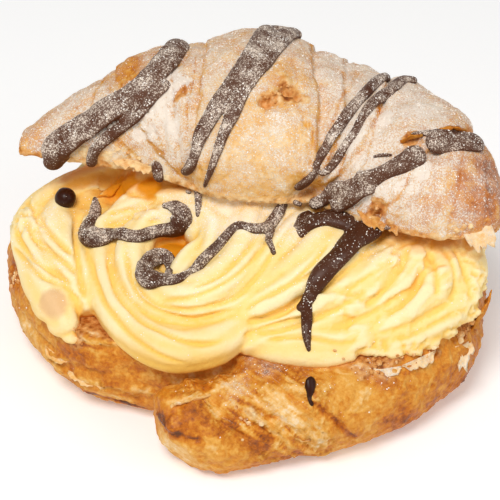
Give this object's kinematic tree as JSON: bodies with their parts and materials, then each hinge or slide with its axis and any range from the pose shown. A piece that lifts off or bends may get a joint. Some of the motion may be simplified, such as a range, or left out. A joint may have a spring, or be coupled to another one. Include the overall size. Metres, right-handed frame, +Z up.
{
  "type": "custard-filled croissant",
  "caption": "Large butter croissant cut through like a bun, filled with piped custard, with chocolate drizzle and powdered sugar on top.",
  "frame": {"origin": "middle of the bounding box's bottom face, on the table under the croissant", "axes": "+Z up, +X from the left horn to the right, -Y towards the front, where the horns cross"},
  "size_m": [0.1392, 0.1226, 0.0823],
  "materials": {
    "crust": "matt baked crust",
    "custard": "soft satin",
    "chocolate": "set chocolate",
    "sugar": "fine powder"
  },
  "bodies": {
    "root": {"croissant_base": "crust", "custard_filling": "custard", "croissant_lid": "crust"}
  },
  "joints": []
}
